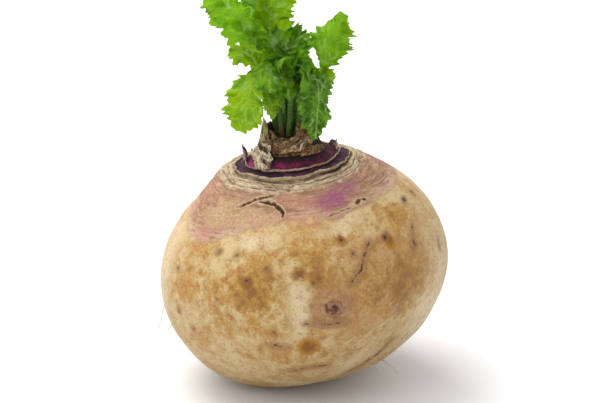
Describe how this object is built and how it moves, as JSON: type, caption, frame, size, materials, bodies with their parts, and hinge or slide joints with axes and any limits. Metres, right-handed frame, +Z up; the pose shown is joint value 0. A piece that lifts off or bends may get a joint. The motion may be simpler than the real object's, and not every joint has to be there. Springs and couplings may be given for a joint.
{
  "type": "turnip",
  "caption": "Whole turnip lying on its flat spot: a round root with a ringed crown, dry neck scales and a tuft of young leaves.",
  "frame": {"origin": "middle of the flat spot that the root rests on", "axes": "+Z up, +X towards the side that the tail points to, -Y towards the front with the leaf scar patch"},
  "size_m": [0.0896, 0.0875, 0.1268],
  "materials": {
    "root_skin": "satin",
    "dry_scale": "matte",
    "purple_scale": "matte",
    "leaf": "satin"
  },
  "bodies": {
    "root": {"root": "root_skin", "scale_stub_left": "dry_scale", "scale_purple_left": "purple_scale", "scale_front": "dry_scale", "scale_front_right": "dry_scale", "scale_sliver": "dry_scale", "scale_right": "purple_scale", "scale_upper_left": "dry_scale", "scale_back_right": "dry_scale", "scale_back": "dry_scale", "scale_back_left": "dry_scale", "leaf_front_left": "leaf", "leaf_small_left": "leaf", "leaf_front": "leaf", "leaf_front_right": "leaf", "leaf_right": "leaf", "leaf_tall_middle": "leaf", "leaf_tall_left": "leaf", "leaf_back_left": "leaf", "leaf_left": "leaf", "leaf_middle": "leaf"}
  },
  "joints": []
}
